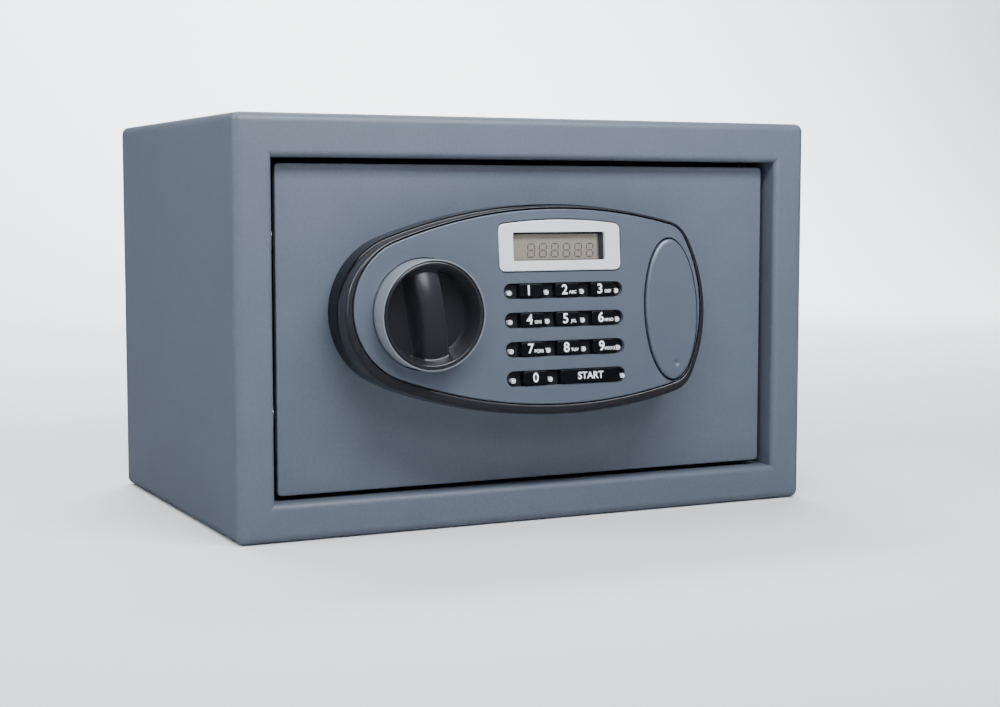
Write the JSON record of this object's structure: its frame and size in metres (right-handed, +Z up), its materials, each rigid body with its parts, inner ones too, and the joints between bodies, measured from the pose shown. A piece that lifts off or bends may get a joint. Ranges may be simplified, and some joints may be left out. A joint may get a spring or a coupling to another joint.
{
  "type": "electronic safe",
  "caption": "Small steel safe with a hinged front door, a raised keypad and display panel, a turn knob that drives sliding locking bolts, and a battery holder inside the door",
  "frame": {"origin": "centre of the steel body's underside", "axes": "+X to the right seen from the front, -Y towards the front, +Z up"},
  "size_m": [0.31, 0.227, 0.197],
  "materials": {
    "steel_paint": "fine textured blue-grey powder coat",
    "pan_paint": "smooth grey powder coat",
    "zinc_steel": "zinc plated",
    "bolt_steel": "bright plated",
    "face_silver": "satin silver-grey lacquer",
    "bright_silver": "satin silver",
    "gloss_black": "polished black moulding",
    "matt_black": "black moulding",
    "key_rubber": "black key",
    "clear_window": "clear window",
    "lcd": "grey-beige display",
    "board_green": "lacquered circuit board",
    "soft_mat": "black felt",
    "silicone": "grey silicone",
    "brass": "machined brass",
    "cell_wrap": "plain printed sleeve",
    "copper_coil": "taped coil",
    "lead_red": "insulated wire",
    "red_button": "red button"
  },
  "bodies": {
    "safe_body": {"body_shell": "steel_paint", "back_panel": "steel_paint", "hinge_brackets": "zinc_steel", "floor_mat": "soft_mat"},
    "door": {"door_plate": "steel_paint", "door_pan": "pan_paint", "mechanism_cover": "pan_paint", "cover_screws": "zinc_steel", "hinge_bosses": "zinc_steel", "hinge_pins": "bolt_steel", "panel_base": "gloss_black", "panel_bezel": "gloss_black", "faceplate": "face_silver", "panel_carrier": "matt_black", "panel_screws": "zinc_steel", "lcd_bezel": "bright_silver", "lcd_lens": "clear_window", "lcd_module": "lcd", "circuit_board": "board_green", "keypad_mat": "silicone", "key_row_studs": "bright_silver", "shaft_bush": "brass", "lock_body": "bolt_steel", "lock_nut": "zinc_steel", "external_contacts": "brass", "solenoid_frame": "zinc_steel", "solenoid_coil": "copper_coil", "battery_box": "matt_black", "battery_contacts": "bolt_steel", "batteries": "cell_wrap", "wiring_leads": "lead_red", "bolt_guides": "zinc_steel", "reset_guide": "matt_black"},
    "knob": {"knob_ring": "bright_silver", "knob_grip": "gloss_black", "knob_shaft": "zinc_steel", "crank_disc": "zinc_steel", "crank_pin": "bolt_steel", "shaft_clip": "zinc_steel"},
    "bolt_bar": {"bolt_plate": "zinc_steel", "locking_bolts": "bolt_steel", "bolt_screws": "zinc_steel"},
    "plunger": {"solenoid_plunger": "bolt_steel"},
    "plug": {"lock_plug": "brass", "lock_cam": "zinc_steel"},
    "cover": {"oval_cover": "face_silver"},
    "lid": {"battery_lid": "matt_black"},
    "reset": {"reset_button": "red_button"},
    "key_0_body": {"key_0": "key_rubber"},
    "key_1_body": {"key_1": "key_rubber"},
    "key_2_body": {"key_2": "key_rubber"},
    "key_3_body": {"key_3": "key_rubber"},
    "key_4_body": {"key_4": "key_rubber"},
    "key_5_body": {"key_5": "key_rubber"},
    "key_6_body": {"key_6": "key_rubber"},
    "key_7_body": {"key_7": "key_rubber"},
    "key_8_body": {"key_8": "key_rubber"},
    "key_9_body": {"key_9": "key_rubber"},
    "key_start_body": {"key_start": "key_rubber"}
  },
  "joints": [
    {"name": "door_swing", "type": "hinge", "parent": "safe_body", "child": "door", "pos_m": [0.125, -0.085, 0.0985], "axis": [0, 0, 1], "range_deg": [0, 100]},
    {"name": "knob_turn", "type": "hinge", "parent": "door", "child": "knob", "pos_m": [-0.0689, -0.1, 0.1047], "axis": [0, 1, 0], "range_deg": [-90, 0]},
    {"name": "bolt_slide", "type": "slide", "parent": "door", "child": "bolt_bar", "axis": [1, 0, 0], "range_m": [-0.017, 0]},
    {"name": "plunger_slide", "type": "slide", "parent": "door", "child": "plunger", "axis": [0, 0, 1], "range_m": [-0.005, 0]},
    {"name": "override_turn", "type": "hinge", "parent": "door", "child": "plug", "pos_m": [0.064, -0.09, 0.118], "axis": [0, 1, 0], "range_deg": [0, 90]},
    {"name": "cover_pull", "type": "slide", "parent": "door", "child": "cover", "axis": [0, -0.9968, 0.0797], "range_m": [0, 0.012]},
    {"name": "lid_slide", "type": "slide", "parent": "door", "child": "lid", "axis": [1, 0, 0], "range_m": [0, 0.05]},
    {"name": "reset_press", "type": "slide", "parent": "door", "child": "reset", "axis": [0, -1, 0], "range_m": [0, 0.0015], "stiffness_N_per_m": 200},
    {"name": "key_0_press", "type": "slide", "parent": "door", "child": "key_0_body", "axis": [0, 0.9968, -0.0797], "range_m": [0, 0.001], "stiffness_N_per_m": 200},
    {"name": "key_1_press", "type": "slide", "parent": "door", "child": "key_1_body", "axis": [0, 0.9968, -0.0797], "range_m": [0, 0.001], "stiffness_N_per_m": 200},
    {"name": "key_2_press", "type": "slide", "parent": "door", "child": "key_2_body", "axis": [0, 0.9968, -0.0797], "range_m": [0, 0.001], "stiffness_N_per_m": 200},
    {"name": "key_3_press", "type": "slide", "parent": "door", "child": "key_3_body", "axis": [0, 0.9968, -0.0797], "range_m": [0, 0.001], "stiffness_N_per_m": 200},
    {"name": "key_4_press", "type": "slide", "parent": "door", "child": "key_4_body", "axis": [0, 0.9968, -0.0797], "range_m": [0, 0.001], "stiffness_N_per_m": 200},
    {"name": "key_5_press", "type": "slide", "parent": "door", "child": "key_5_body", "axis": [0, 0.9968, -0.0797], "range_m": [0, 0.001], "stiffness_N_per_m": 200},
    {"name": "key_6_press", "type": "slide", "parent": "door", "child": "key_6_body", "axis": [0, 0.9968, -0.0797], "range_m": [0, 0.001], "stiffness_N_per_m": 200},
    {"name": "key_7_press", "type": "slide", "parent": "door", "child": "key_7_body", "axis": [0, 0.9968, -0.0797], "range_m": [0, 0.001], "stiffness_N_per_m": 200},
    {"name": "key_8_press", "type": "slide", "parent": "door", "child": "key_8_body", "axis": [0, 0.9968, -0.0797], "range_m": [0, 0.001], "stiffness_N_per_m": 200},
    {"name": "key_9_press", "type": "slide", "parent": "door", "child": "key_9_body", "axis": [0, 0.9968, -0.0797], "range_m": [0, 0.001], "stiffness_N_per_m": 200},
    {"name": "key_start_press", "type": "slide", "parent": "door", "child": "key_start_body", "axis": [0, 0.9968, -0.0797], "range_m": [0, 0.001], "stiffness_N_per_m": 200}
  ],
  "couplings": [
    {"joint": "knob_turn", "follows": "bolt_slide", "rad_per_m": 92.4}
  ]
}
